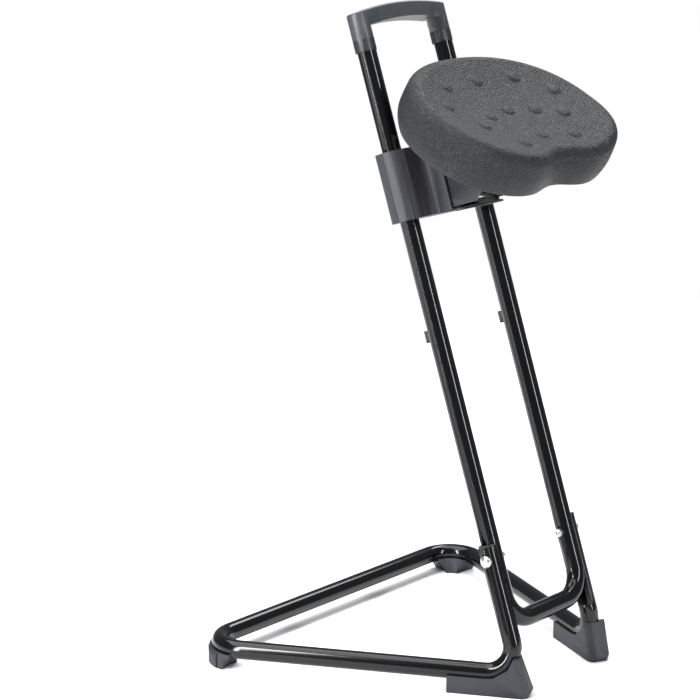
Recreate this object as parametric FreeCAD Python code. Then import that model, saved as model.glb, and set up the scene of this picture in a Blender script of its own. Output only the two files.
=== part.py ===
"""Perch stool: a leaning tube mast nested in a bent tube base, with a tilted seat that slides.

Own frame: X across the stool, +Y towards its back, +Z up, in millimetres.
The floor is z = 0 and the origin is the middle of the stool's footprint.
Most pieces of the mast are drawn upright, with z as the distance up the mast, and then leaned back.
"""
import FreeCAD
import Part
import math
import os

Vector = FreeCAD.Vector

# Steel tube that the whole frame is bent from
tube_diameter = 25.0
tube_wall = 1.5

# Mast: a U of tube, leaning back from the floor line under it
mast_lean = 18.8
mast_floor_y = -203.6
upright_spacing = 157.2
mast_cross_height = 95.5
mast_top = 892.5
mast_bend_radius = 38.0

# Base: two legs whose inner sides are pressed in to nest round the uprights, side runs that splay
# out, and a rear cross run
sole_thickness = 14.5
leg_top = 200.4
leg_offset = 6.8
nest_clearance = 0.1
base_length = 393.8
base_rear_width = 565.6
front_bend_radius = 34.0
rear_bend_radius = 42.0

# Bolts that hold the nested legs and uprights together
bolt_height = 182.0
bolt_diameter = 6.0
bolt_clearance = 0.05
bolt_head_diameter = 16.0
bolt_head_height = 4.0
bolt_tail = 2.0
nut_across_flats = 10.0
nut_height = 5.0

# Plastic plugs in the open leg tops
leg_cap_plate = 2.0
leg_cap_plug = 12.0

# Handle across the top of the uprights, with a collar under each end
handle_socket_depth = 22.0
handle_socket_clearance = 0.05
handle_end_radius = 14.0
handle_end_height = 34.5
handle_arch_rise = 8.5
handle_bar_height = 17.0
handle_bar_arch = 5.0
handle_setback = 0.9
handle_edge_round = 3.0
collar_height = 15.5
collar_radius = 14.1
handle_screw_radius = 2.0
handle_screw_head_radius = 3.6
handle_screw_length = 12.0

# Small plugs behind the uprights that stop the seat's way down
stop_height = 480.5
stop_length = 16.0
stop_width = 9.0
stop_reach = 7.0
stop_shank_radius = 3.0
stop_shank_depth = 3.0

# Front feet: shoes under the bends between the legs and the side runs
shoe_wall = 3.0
shoe_rear = 94.0
shoe_toe = 16.5
shoe_toe_height = 8.0
shoe_top = 52.0
shoe_top_front = 0.5
shoe_side_top = 23.0

# Rear feet: saddles under the rear bends
saddle_wall = 3.2
saddle_height = 22.0
saddle_half_angle = 42.0
saddle_end_slant = 30.0
saddle_panel_half_angle = 20.0
saddle_panel_proud = 1.2

# Screws that hold the four feet from below
foot_screw_radius = 2.4
foot_screw_head_radius = 4.5
foot_screw_head_height = 2.6
foot_screw_recess = 4.0
foot_screw_into_tube = 4.0
front_screw_place = 70.0

# Seat carriage: two steel sleeves on plastic bushes, joined by a plate
cover_bottom = 631.5
cover_height = 91.0
cover_wall = 2.7
cover_lobe_radius = 22.5
cover_gap = 0.3
cover_web_front = 22.0
cover_web_rear = 16.0
cover_tube_gap = 0.6
boss_half_width = 48.0
boss_reach = 48.0
boss_wall = 2.4
boss_root_round = 11.0
sleeve_inner_radius = 16.5
sleeve_bottom_gap = 20.0
sleeve_top_gap = 5.4
carriage_plate = 3.0
carriage_plate_inset = 5.0
bush_clearance = 0.05
bush_length = 14.0
bush_flange = 2.4

# Clamp plate that bites on the uprights, with a wave spring above it on each upright
clamp_bottom_gap = 9.0
clamp_thickness = 4.0
clamp_hole_gap = 0.4
clamp_tongue_half_width = 30.0
clamp_tongue_reach = 27.0
spring_radial_gap = 0.7
spring_width = 2.4

# Screws that join the two halves of the carriage cover
cover_screw_radius = 1.6
cover_screw_head_radius = 3.0
cover_screw_head_height = 2.0
cover_post_radius = 3.6
cover_screw_side = 54.0
cover_screw_edge = 9.0
cover_screw_tip = 4.0

# Seat: place of the middle of its lower rim, in front of the mast and up along it
seat_tilt = 27.2
seat_forward = 110.0
seat_up = 695.5
seat_half_width = 162.0
seat_rear = 126.0
seat_front = 108.5
seat_side_squareness = 2.35
seat_rear_squareness = 2.15
seat_notch = 15.0
seat_notch_width = 50.0
seat_core_height = 47.0
seat_dish_radius = 714.0
seat_roll_radius = 10.0
seat_draw_in = 6.0
seat_belly_height = 26.0
seat_ring_points = 32
nub_radius = 9.5
nub_height = 2.2

# Plywood insert under the foam, and the screws into it
insert_half_width = 105.0
insert_front = 58.0
insert_rear = 70.0
insert_thickness = 10.0
insert_corner = 25.0
seat_screw_radius = 2.5
seat_screw_head_radius = 5.0
seat_screw_head_height = 3.0
seat_screw_length = 8.0
seat_screw_side = 53.0
seat_screw_front = 13.0
seat_screw_rear = 48.0

# Steel bracket that carries the seat
bracket_sheet = 3.0
bracket_half_width = 43.0
bracket_bottom_gap = 3.0
bracket_top_plate = 4.0
bracket_top_half_width = 60.0
bracket_top_front = 27.0
bracket_top_rear = 62.0
bracket_screw_radius = 3.0
bracket_screw_head_radius = 5.0
bracket_screw_head_height = 4.0
bracket_screw_tail = 3.0
bracket_screw_side = 28.0
bracket_screw_edge = 10.0

# Release lever under the seat, on a pin through the bracket
lever_pin_radius = 4.0
lever_pin_forward = 40.0
lever_pin_up = 12.0
lever_pin_clearance = 0.05
lever_sheet = 3.0
lever_side_gap = 0.5
lever_paddle_drop = 3.5
lever_paddle_start = 50.0
lever_paddle_reach = 62.0
lever_paddle_half_width = 45.0
lever_corner = 4.0
lever_tail_reach = 21.0
clip_thickness = 1.0
clip_radius = 6.5
clip_gap = 0.1
pin_tail = 1.0
lever_spring_radius = 6.6
lever_spring_half_length = 9.0

# Sizes that follow from the ones above
tube_radius = tube_diameter / 2
upright_x = upright_spacing / 2
leg_x = upright_x + leg_offset
base_height = sole_thickness + tube_radius
handle_bottom = mast_top - handle_socket_depth
handle_rear = handle_end_radius + handle_setback
collar_bottom = handle_bottom - collar_height
cover_top = cover_bottom + cover_height
sleeve_outer_radius = cover_lobe_radius - cover_wall - cover_gap
sleeve_bottom = cover_bottom + sleeve_bottom_gap
sleeve_top = cover_top - sleeve_top_gap
plate_front = cover_web_front - cover_wall - cover_gap
lean_sine = math.sin(math.radians(mast_lean))
lean_cosine = math.cos(math.radians(mast_lean))
X_AXIS = Vector(1, 0, 0)
Z_AXIS = Vector(0, 0, 1)
SIDES = {"left": -1, "right": 1}


def mast_point(x, forward, up):
    """A point of the stool's frame, given beside the mast: across, in front of it, and up along it."""
    y = mast_floor_y + up * lean_sine - forward * lean_cosine
    z = up * lean_cosine + forward * lean_sine
    return Vector(x, y, z)


def lean_back(shape):
    """Turn a shape that was drawn upright so that it lies along the mast."""
    leaned = shape.copy()
    leaned.rotate(Vector(0, 0, 0), X_AXIS, -mast_lean)
    leaned.translate(Vector(0, mast_floor_y, 0))
    return leaned


def place_on_seat(shape):
    """Turn a shape that was drawn flat, with the seat's lower rim at z = 0, to the seat's place."""
    tilted = shape.copy()
    tilted.rotate(Vector(0, 0, 0), X_AXIS, seat_tilt)
    tilted.translate(mast_point(0, seat_forward, seat_up))
    return tilted


def rod(start, end, radius):
    return Part.makeCylinder(radius, (end - start).Length, start, end - start)


def ring(start, end, outer_radius, inner_radius):
    return rod(start, end, outer_radius).cut(rod(start, end, inner_radius))


def block(low, high):
    size = high - low
    return Part.makeBox(size.x, size.y, size.z, low)


def fuse_all(shapes):
    return shapes[0].multiFuse(shapes[1:]).removeSplitter()


def bent_rod(points, bend_radii, radius):
    """A round rod through straight runs and tangent bends at the inner points."""
    pieces = []
    run_start = points[0]
    for before, corner, after, bend in zip(points, points[1:], points[2:], bend_radii):
        way_in = (corner - before).normalize()
        way_out = (after - corner).normalize()
        turn = way_in.getAngle(way_out)
        tangent = bend * math.tan(turn / 2)
        bend_start = corner - way_in * tangent
        axis = way_in.cross(way_out).normalize()
        center = bend_start + axis.cross(way_in) * bend
        pieces.append(rod(run_start, bend_start, radius))
        disc = Part.Face(Part.Wire(Part.makeCircle(radius, bend_start, way_in)))
        pieces.append(disc.revolve(center, axis, math.degrees(turn)))
        run_start = corner + way_out * tangent
    pieces.append(rod(run_start, points[-1], radius))
    return pieces[0].multiFuse(pieces[1:])


def prism(points, direction):
    """A polygon pushed along a direction."""
    return Part.Face(Part.makePolygon(points + [points[0]])).extrude(direction)


def side_prism(profile, low_x, high_x):
    """A polygon of (forward, up) points beside the mast, from one x to another, drawn upright."""
    points = [Vector(low_x, -forward, up) for forward, up in profile]
    return prism(points, Vector(high_x - low_x, 0, 0))


def capsule(half_length, radius, low, high):
    """An upright prism whose plan is two round ends joined by straight sides."""
    height = high - low
    ends = [Part.makeCylinder(radius, height, Vector(side * half_length, 0, low)) for side in (-1, 1)]
    middle = block(Vector(-half_length, -radius, low), Vector(half_length, radius, high))
    return fuse_all([middle] + ends)


def rounded_plate(low, high, corner):
    plate = block(low, high)
    return plate.makeFillet(corner, [edge for edge in plate.Edges if is_upright(edge)])


def is_upright(edge):
    direction = edge.Vertexes[0].Point - edge.Vertexes[-1].Point
    return abs(direction.x) < 1e-6 and abs(direction.y) < 1e-6


def upright_rod(radius, low, high):
    """Both uprights' places as round rods, drawn upright."""
    height = high - low
    return [Part.makeCylinder(radius, height, Vector(side * upright_x, 0, low)) for side in (-1, 1)]


# Mast


def mast_rod(radius):
    """A round rod along the mast's tube, drawn upright."""
    bottom = mast_cross_height
    points = [
        Vector(-upright_x, 0, mast_top),
        Vector(-upright_x, 0, bottom),
        Vector(upright_x, 0, bottom),
        Vector(upright_x, 0, mast_top),
    ]
    return bent_rod(points, [mast_bend_radius] * 2, radius)


def make_mast_tube():
    tube = mast_rod(tube_radius).cut(mast_rod(tube_radius - tube_wall))
    reach = upright_x + tube_diameter
    bolt_hole = rod(Vector(-reach, 0, bolt_height), Vector(reach, 0, bolt_height), bolt_hole_radius())
    holes = [bolt_hole]
    for side in (-1, 1):
        rear = Vector(side * upright_x, tube_diameter, 0)
        for height, radius in ((stop_height, stop_shank_radius), (handle_screw_up(), handle_screw_radius)):
            start = Vector(side * upright_x, 0, height)
            holes.append(rod(start, start + Vector(0, rear.y, 0), radius))
    return lean_back(tube.cut(holes[0].multiFuse(holes[1:])))


def bolt_hole_radius():
    return bolt_diameter / 2 + bolt_clearance


def handle_screw_up():
    return handle_bottom + handle_socket_depth / 2


def arch(height_at_ends, rise):
    """Three points of an arc over the handle's width, from one end to the other."""
    reach = upright_x + handle_end_radius
    return (Vector(-reach, 0, height_at_ends), Vector(0, 0, height_at_ends + rise),
            Vector(reach, 0, height_at_ends))


def make_handle_grip():
    reach = upright_x + handle_end_radius
    inner = upright_x - handle_end_radius
    end_top = handle_bottom + handle_end_height
    under_end = end_top - handle_bar_height
    top_left, top_middle, top_right = arch(end_top, handle_arch_rise)
    under = Part.Arc(Vector(inner, 0, under_end), Vector(0, 0, under_end + handle_bar_arch),
                     Vector(-inner, 0, under_end))
    low_left = Vector(-reach, 0, handle_bottom)
    low_right = Vector(reach, 0, handle_bottom)
    inner_left = Vector(-inner, 0, handle_bottom)
    inner_right = Vector(inner, 0, handle_bottom)
    outline = Part.Wire([
        Part.makeLine(low_left, top_left),
        Part.Arc(top_left, top_middle, top_right).toShape(),
        Part.makeLine(top_right, low_right),
        Part.makeLine(low_right, inner_right),
        Part.makeLine(inner_right, Vector(inner, 0, under_end)),
        under.toShape(),
        Part.makeLine(Vector(-inner, 0, under_end), inner_left),
        Part.makeLine(inner_left, low_left),
    ])
    bow = Part.Face(outline).extrude(Vector(0, 2 * handle_end_radius, 0))
    bow.translate(Vector(0, -handle_end_radius, 0))
    plan = [capsule(upright_x, handle_end_radius, under_end, end_top + 2 * handle_arch_rise)]
    plan += upright_rod(handle_end_radius, handle_bottom, under_end)
    grip = bow.common(fuse_all(plan)).removeSplitter()
    grip.translate(Vector(0, handle_setback, 0))
    top_edges = [edge for edge in grip.Edges if edge.BoundBox.ZMin > end_top - 2 and edge.Length > 10]
    grip = grip.makeFillet(handle_edge_round, top_edges)
    for socket in upright_rod(tube_radius + handle_socket_clearance, handle_bottom, mast_top):
        grip = grip.cut(socket)
    for side in (-1, 1):
        start = Vector(side * upright_x, 0, handle_screw_up())
        grip = grip.cut(rod(start, start + Vector(0, handle_rear, 0), handle_screw_radius))
    return lean_back(grip)


def make_handle_screws():
    screws = []
    for side in (-1, 1):
        head_seat = Vector(side * upright_x, handle_rear, handle_screw_up())
        tip = head_seat - Vector(0, handle_screw_length, 0)
        shank = rod(tip, head_seat, handle_screw_radius)
        head = Part.makeSphere(handle_screw_head_radius, head_seat)
        beyond = block(Vector(-upright_spacing, handle_rear, 0),
                       Vector(upright_spacing, 2 * handle_rear, 2 * mast_top))
        head = head.common(beyond)
        screws.append(lean_back(shank.fuse(head).removeSplitter()))
    return Part.makeCompound(screws)


def make_handle_collar(side):
    start = Vector(side * upright_x, 0, collar_bottom)
    end = Vector(side * upright_x, 0, handle_bottom)
    setback = Vector(0, handle_setback, 0)
    collar = rod(start + setback, end + setback, collar_radius)
    collar = collar.cut(rod(start, end, tube_radius + handle_socket_clearance))
    return lean_back(collar)


def make_travel_stop(side):
    center = Vector(side * upright_x, 0, stop_height)
    rear = tube_radius + stop_reach
    low = center + Vector(-stop_width / 2, 0, -stop_length / 2)
    high = center + Vector(stop_width / 2, rear, stop_length / 2)
    head = block(low, high)
    round_edges = [edge for edge in head.Edges if edge.BoundBox.YMin > rear - 1e-3]
    head = head.makeFillet(stop_reach / 4, round_edges)
    tube = Part.makeCylinder(tube_radius, mast_top, Vector(center.x, 0, 0))
    head = head.cut(tube)
    inside = tube_radius - tube_wall - stop_shank_depth
    shank = rod(center + Vector(0, inside, 0), center + Vector(0, rear - 1, 0), stop_shank_radius)
    return lean_back(head.fuse(shank).removeSplitter())


# Bolts between mast and base


def make_base_bolt(side):
    """A round-headed bolt; the head's underside is shaped to the leg."""
    face = side * (leg_x + tube_radius)
    inner = side * (upright_x - tube_radius - nut_height - bolt_tail)
    seat = Vector(face, 0, bolt_height)
    shank = rod(Vector(inner, 0, bolt_height), seat, bolt_diameter / 2)
    head_radius = bolt_head_diameter / 2
    skirt = rod(Vector(side * leg_x, 0, bolt_height), seat, head_radius)
    skirt = skirt.cut(Part.makeCylinder(tube_radius, leg_top, Vector(side * leg_x, 0, 0)))
    head = dome(seat, Vector(side, 0, 0), head_radius, bolt_head_height)
    return lean_back(fuse_all([shank, skirt, head]))


def dome(seat, direction, radius, height):
    """A low round head: the cap of a sphere, on a flat seat."""
    sphere_radius = (radius ** 2 + height ** 2) / (2 * height)
    center = seat - direction * (sphere_radius - height)
    sphere = Part.makeSphere(sphere_radius, center)
    return sphere.common(rod(seat, seat + direction * 2 * height, 2 * radius))


def hexagon(seat, direction, across_flats, height):
    """A hexagonal prism on a seat whose normal lies along X."""
    radius = across_flats / math.sqrt(3)
    corners = []
    for corner in range(6):
        angle = math.radians(60 * corner)
        corners.append(seat + Vector(0, radius * math.cos(angle), radius * math.sin(angle)))
    return prism(corners, direction * height)


def make_base_nut(side):
    seat = Vector(side * (upright_x - tube_radius), 0, bolt_height)
    inward = Vector(-side, 0, 0)
    nut = hexagon(seat, inward, nut_across_flats, nut_height)
    hole = rod(seat, seat + inward * nut_height, bolt_diameter / 2)
    return lean_back(nut.cut(hole))


# Base


def base_corners(side):
    """The ends of the straight runs of one side, as if the tube turned without bends."""
    top = mast_point(side * leg_x, 0, leg_top)
    front = mast_point(side * leg_x, 0, base_height / lean_cosine)
    rear = Vector(side * base_rear_width / 2, front.y + base_length, base_height)
    return top, front, rear


def base_path():
    left_top, left_front, left_rear = base_corners(-1)
    right_top, right_front, right_rear = base_corners(1)
    return [left_top, left_front, left_rear, right_rear, right_front, right_top]


def base_bends():
    return [front_bend_radius, rear_bend_radius, rear_bend_radius, front_bend_radius]


def make_base_tube():
    """The bent tube, with its wall pressed in where the legs nest round the mast."""
    nest_radius = tube_radius + nest_clearance
    outside = base_rod(tube_radius).cut(lean_back(mast_rod(nest_radius)))
    hollow = base_rod(tube_radius - tube_wall).cut(lean_back(mast_rod(nest_radius + tube_wall)))
    tube = outside.cut(hollow)
    middle = mast_point(0, 0, bolt_height)
    reach = Vector(leg_x + tube_diameter, 0, 0)
    tube = tube.cut(rod(middle - reach, middle + reach, bolt_hole_radius()))
    for side in (-1, 1):
        for seat in (front_screw_seat(side), rear_screw_seat(side)):
            start = Vector(seat.x, seat.y, base_height - tube_radius - 1)
            tube = tube.cut(rod(start, start + Z_AXIS * (tube_wall + 2), foot_screw_radius))
    return tube


def base_rod(radius):
    """A round rod along the base's tube, before its legs are pressed in."""
    return bent_rod(base_path(), base_bends(), radius)


def side_direction(side):
    top, front, rear = base_corners(side)
    return (rear - front).normalize()


def make_leg_cap(side):
    """A plug in a leg's top, with the same pressed-in side as the leg."""
    top = Vector(side * leg_x, 0, leg_top)
    nest_radius = tube_radius + nest_clearance
    upright = Vector(side * upright_x, 0, 0)
    cap = rod(top, top + Z_AXIS * leg_cap_plate, tube_radius)
    cap = cap.cut(Part.makeCylinder(nest_radius, mast_top, upright))
    plug = rod(top - Z_AXIS * leg_cap_plug, top, tube_radius - tube_wall)
    plug = plug.cut(Part.makeCylinder(nest_radius + tube_wall, mast_top, upright))
    return lean_back(cap.fuse(plug).removeSplitter())


# Feet


def along_side(side, distance, height):
    """A point in the upright plane through a side run: distance back from the front corner."""
    top, front, rear = base_corners(side)
    point = front + side_direction(side) * distance
    return Vector(point.x, point.y, height)


def front_screw_seat(side):
    return along_side(side, front_screw_place, foot_screw_recess)


def rear_screw_seat(side):
    center, middle_angle = rear_bend(side)
    direction = Vector(math.cos(middle_angle), math.sin(middle_angle), 0)
    seat = center + direction * rear_bend_radius
    return Vector(seat.x, seat.y, foot_screw_recess)


def rear_bend(side):
    """Centre of a rear bend and the direction from it to the bend's middle."""
    top, front, rear = base_corners(side)
    to_front = (front - rear).normalize()
    to_other = Vector(-side, 0, 0)
    half_angle = to_front.getAngle(to_other) / 2
    inward = (to_front + to_other).normalize()
    center = rear + inward * (rear_bend_radius / math.sin(half_angle))
    return Vector(center.x, center.y, 0), math.atan2(-inward.y, -inward.x)


def make_front_foot(side, tube):
    """A shoe: an outline in the plane of the side run, pushed out to its width and fitted to the tube."""
    direction = side_direction(side)
    across = direction.cross(Z_AXIS)
    half_width = tube_radius + shoe_wall
    leg_slope = lean_sine * direction.y / lean_cosine
    leg_at_top = (shoe_top - base_height) * leg_slope
    tangent = front_bend_radius * math.tan((math.pi / 2 + math.atan(leg_slope)) / 2)
    bend_low = tangent
    bend_high = tangent * math.cos(math.atan(leg_slope))
    middle = 0.29 * tangent
    drop = base_height - shoe_side_top
    outline = [
        (shoe_rear, 0),
        (-shoe_toe + 4, 0),
        (-shoe_toe, shoe_toe_height),
        (-shoe_top_front, shoe_top),
        (leg_at_top, shoe_top - leg_slope * shoe_top_front),
        (middle + 1, base_height + middle - drop),
        (bend_low * 0.72, shoe_side_top + 1),
        (bend_low, shoe_side_top),
        (shoe_rear, shoe_side_top),
    ]
    points = [along_side(side, distance, height) - across * half_width for distance, height in outline]
    shoe = prism(points, across * 2 * half_width)
    toe_edges = [edge for edge in shoe.Edges if is_toe_edge(edge, side)]
    shoe = shoe.makeFillet(half_width * 0.6, toe_edges)
    shoe = shoe.cut(tube)
    shoe = keep_largest(shoe)
    return shoe.cut(screw_recess(front_screw_seat(side)))


def is_toe_edge(edge, side):
    """The shoe's steep front edges, which get a large round."""
    first = edge.Vertexes[0].Point
    last = edge.Vertexes[-1].Point
    front_limit = along_side(side, -shoe_top_front, 0)
    way = side_direction(side)
    ahead = all((point - front_limit).dot(way) < 1e-3 for point in (first, last))
    return ahead and abs(first.z - last.z) > 5


def keep_largest(shape):
    return max(shape.Solids, key=lambda solid: solid.Volume)


def screw_recess(seat):
    floor = Vector(seat.x, seat.y, 0)
    top = Vector(seat.x, seat.y, base_height)
    return rod(floor, seat, foot_screw_head_radius).fuse(rod(seat, top, foot_screw_radius))


def make_rear_foot(side, tube):
    """A saddle that follows the rear bend, with slanted ends and a raised panel at its middle."""
    center, middle_angle = rear_bend(side)
    half_width = tube_radius + saddle_wall
    body = bend_sector(center, middle_angle, saddle_half_angle, half_width, 0, saddle_height)
    for end in (-1, 1):
        angle = middle_angle + end * math.radians(saddle_half_angle)
        outward = Vector(math.cos(angle), math.sin(angle), 0)
        foot_line = center + outward * rear_bend_radius
        along = Vector(-math.sin(angle), math.cos(angle), 0) * end
        cutter = Part.makeBox(4 * half_width, 4 * half_width, 6 * half_width)
        cutter.translate(Vector(-2 * half_width, 0, -3 * half_width))
        cutter.rotate(Vector(0, 0, 0), X_AXIS, -saddle_end_slant)
        turn = math.degrees(math.atan2(along.y, along.x)) - 90
        cutter.rotate(Vector(0, 0, 0), Z_AXIS, turn)
        cutter.translate(Vector(foot_line.x, foot_line.y, saddle_height))
        body = body.cut(cutter)
    panel = bend_sector(center, middle_angle, saddle_panel_half_angle, half_width + saddle_panel_proud,
                        0, saddle_height - 2)
    body = body.fuse(panel).removeSplitter().cut(tube)
    return keep_largest(body).cut(screw_recess(rear_screw_seat(side)))


def bend_sector(center, middle_angle, half_angle, half_width, low, high):
    start = middle_angle - math.radians(half_angle)
    direction = Vector(math.cos(start), math.sin(start), 0)
    inner = center + direction * (rear_bend_radius - half_width)
    outer = center + direction * (rear_bend_radius + half_width)
    rise = Vector(0, 0, high - low)
    inner = inner + Vector(0, 0, low)
    outer = outer + Vector(0, 0, low)
    face = Part.Face(Part.makePolygon([inner, outer, outer + rise, inner + rise, inner]))
    return face.revolve(center, Z_AXIS, 2 * half_angle)


def make_foot_screws():
    screws = []
    for side in (-1, 1):
        for seat in (front_screw_seat(side), rear_screw_seat(side)):
            tip = Vector(seat.x, seat.y, base_height - tube_radius + foot_screw_into_tube)
            shank = rod(seat, tip, foot_screw_radius)
            head = rod(seat - Z_AXIS * foot_screw_head_height, seat, foot_screw_head_radius)
            screws.append(shank.fuse(head).removeSplitter())
    return Part.makeCompound(screws)


# Carriage


def cover_plan(inset, low, high):
    """The carriage cover's plan, drawn in from its outside by an inset: two lobes and the web between."""
    lobes = upright_rod(cover_lobe_radius - inset, low, high)
    web = block(Vector(-upright_x, -cover_web_front + inset, low),
                Vector(upright_x, cover_web_rear - inset, high))
    return fuse_all([web] + lobes)


def make_carriage_frame():
    sleeves = upright_rod(sleeve_outer_radius, sleeve_bottom, sleeve_top)
    plate = block(Vector(-upright_x, -plate_front, sleeve_bottom + carriage_plate_inset),
                  Vector(upright_x, -plate_front + carriage_plate, sleeve_top - carriage_plate_inset))
    frame = fuse_all([plate] + sleeves)
    for bore in upright_rod(sleeve_inner_radius, sleeve_bottom, sleeve_top):
        frame = frame.cut(bore)
    for place in bracket_screw_places():
        frame = frame.cut(bracket_screw_hole(place))
    return lean_back(frame)


def bracket_screw_places():
    """Across and up: the four screws that hold the bracket on the carriage plate."""
    low = sleeve_bottom + carriage_plate_inset + bracket_screw_edge
    high = sleeve_top - carriage_plate_inset - bracket_screw_edge
    return [(side * bracket_screw_side, up) for side in (-1, 1) for up in (low, high)]


def bracket_screw_hole(place):
    across, up = place
    return rod(Vector(across, 0, up), Vector(across, -cover_lobe_radius * 2, up), bracket_screw_radius)


def make_guide_bush(side, end):
    """A flanged liner in one end of a sleeve; end is 1 at the sleeve's top and -1 at its bottom."""
    mouth = sleeve_top if end > 0 else sleeve_bottom
    seat = Vector(side * upright_x, 0, mouth)
    bore_radius = tube_radius + bush_clearance
    liner = ring(seat - Z_AXIS * end * bush_length, seat, sleeve_inner_radius, bore_radius)
    flange = ring(seat, seat + Z_AXIS * end * bush_flange, sleeve_outer_radius, bore_radius)
    return lean_back(liner.fuse(flange).removeSplitter())


def clamp_low():
    return cover_bottom + clamp_bottom_gap


def clamp_high():
    return clamp_low() + clamp_thickness


def make_clamp_plate():
    plate = cover_plan(cover_wall + cover_gap, clamp_low(), clamp_high())
    tongue = block(Vector(-clamp_tongue_half_width, -clamp_tongue_reach, clamp_low()),
                   Vector(clamp_tongue_half_width, 0, clamp_high()))
    plate = plate.fuse(tongue).removeSplitter()
    for hole in upright_rod(tube_radius + clamp_hole_gap, clamp_low(), clamp_high()):
        plate = plate.cut(hole)
    return lean_back(clear_of_posts(plate))


def clear_of_posts(shape):
    for across, up in cover_screw_places():
        gap_radius = cover_post_radius + cover_gap
        shape = shape.cut(rod(Vector(across, -cover_web_front, up), Vector(across, cover_web_rear, up),
                              gap_radius))
    return shape


def make_clamp_springs():
    springs = []
    for side in (-1, 1):
        low = Vector(side * upright_x, 0, clamp_high())
        high = Vector(side * upright_x, 0, sleeve_bottom - bush_flange)
        inner = tube_radius + spring_radial_gap
        springs.append(lean_back(ring(low, high, inner + spring_width, inner)))
    return Part.makeCompound(springs)


def cover_screw_places():
    """Across and up: the four screws and posts that join the cover's halves, beside the bracket."""
    low = cover_bottom + cover_screw_edge + clamp_bottom_gap + clamp_thickness
    high = cover_top - cover_screw_edge
    return [(side * cover_screw_side, up) for side in (-1, 1) for up in (low, high)]


def boss_plan(inset, low, high):
    """The socket at the cover's front that the seat bracket comes out of, with hollow rounded roots."""
    reach = boss_reach
    half = boss_half_width - inset
    boss = block(Vector(-half, -reach, low), Vector(half, -cover_web_front + cover_wall + inset, high))
    if inset > 0:
        return boss
    pieces = [boss]
    for side in (-1, 1):
        corner = Vector(side * half, -cover_web_front, low)
        outer = corner + Vector(side * boss_root_round, -boss_root_round, 0)
        root = block(Vector(min(corner.x, outer.x), outer.y, low),
                     Vector(max(corner.x, outer.x), corner.y + cover_wall / 2, high))
        hollow = Part.makeCylinder(boss_root_round, high - low, outer)
        pieces.append(root.cut(hollow))
    return fuse_all(pieces)


def make_cover():
    """The whole cover, before it is split into its halves."""
    outside = cover_plan(0, cover_bottom, cover_top).fuse(boss_plan(0, cover_bottom, cover_top))
    outside = outside.removeSplitter()
    hollow = cover_plan(cover_wall, cover_bottom + cover_wall, cover_top - cover_wall)
    boss_hollow = boss_plan(boss_wall, cover_bottom, cover_top)
    cover = outside.cut(hollow).cut(boss_hollow)
    for hole in upright_rod(tube_radius + cover_tube_gap, cover_bottom, cover_top):
        cover = cover.cut(hole)
    posts = []
    for across, up in cover_screw_places():
        posts.append(rod(Vector(across, -cover_web_front + 1, up), Vector(across, cover_web_rear - 1, up),
                         cover_post_radius))
    carriage = block(Vector(-upright_x, -plate_front - cover_gap, sleeve_bottom),
                     Vector(upright_x, -plate_front + carriage_plate + cover_gap, sleeve_top))
    posts = [post.cut(carriage) for post in posts]
    cover = cover.multiFuse(posts)
    return cover.removeSplitter()


def make_cover_halves():
    cover = make_cover()
    reach = upright_x + cover_lobe_radius + 10
    front_space = block(Vector(-reach, -2 * boss_reach, cover_bottom - 10), Vector(reach, 0, cover_top + 10))
    rear_space = block(Vector(-reach, 0, cover_bottom - 10), Vector(reach, 2 * boss_reach, cover_top + 10))
    front = cover.common(front_space)
    rear = cover.common(rear_space)
    for across, up in cover_screw_places():
        pilot = rod(Vector(across, -cover_screw_tip, up), Vector(across, cover_web_rear, up),
                    cover_screw_radius)
        front = front.cut(pilot)
        rear = rear.cut(pilot)
    return lean_back(keep_largest(front)), lean_back(keep_largest(rear))


def make_cover_screws():
    screws = []
    for across, up in cover_screw_places():
        seat = Vector(across, cover_web_rear, up)
        shank = rod(Vector(across, -cover_screw_tip, up), seat, cover_screw_radius)
        head = dome(seat, Vector(0, 1, 0), cover_screw_head_radius, cover_screw_head_height)
        screws.append(lean_back(shank.fuse(head).removeSplitter()))
    return Part.makeCompound(screws)


# Seat bracket


def under_seat(forward_along_seat, drop):
    """(forward, up) beside the mast of a point below the seat's rim plane."""
    relative = math.radians(seat_tilt + mast_lean)
    forward = seat_forward + forward_along_seat * math.cos(relative) - drop * math.sin(relative)
    up = seat_up - forward_along_seat * math.sin(relative) - drop * math.cos(relative)
    return forward, up


def bracket_profile():
    """Outline of a cheek: its front edge stands square to the seat."""
    relative = math.radians(seat_tilt + mast_lean)
    bottom = cover_bottom + bracket_bottom_gap
    front_top = under_seat(bracket_top_front, bracket_top_plate)
    depth = (front_top[1] - bottom) / math.cos(relative)
    front_bottom = (front_top[0] - depth * math.sin(relative), bottom)
    return [
        (plate_front, bottom),
        front_bottom,
        front_top,
        under_seat(-bracket_top_rear, bracket_top_plate),
        (plate_front, sleeve_top - carriage_plate_inset),
    ]


def make_seat_bracket():
    profile = bracket_profile()
    inner = bracket_half_width - bracket_sheet
    cheeks = [side_prism(profile, -bracket_half_width, -inner), side_prism(profile, inner, bracket_half_width)]
    back = block(Vector(-inner, -plate_front - bracket_sheet, sleeve_bottom + carriage_plate_inset),
                 Vector(inner, -plate_front, sleeve_top - carriage_plate_inset))
    channel = fuse_all([back] + cheeks)
    for place in bracket_screw_places():
        channel = channel.cut(bracket_screw_hole(place))
    channel = lean_back(channel)
    top = rounded_plate(Vector(-bracket_top_half_width, -bracket_top_front, -bracket_top_plate),
                        Vector(bracket_top_half_width, bracket_top_rear, 0), 8)
    for across, back_along in seat_screw_places():
        top = top.cut(rod(Vector(across, back_along, -bracket_top_plate), Vector(across, back_along, 0),
                          seat_screw_radius))
    bracket = channel.fuse(place_on_seat(top)).removeSplitter()
    pin_hole = rod(lever_pin_point(-bracket_half_width), lever_pin_point(bracket_half_width), lever_pin_radius)
    return bracket.cut(pin_hole)


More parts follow.
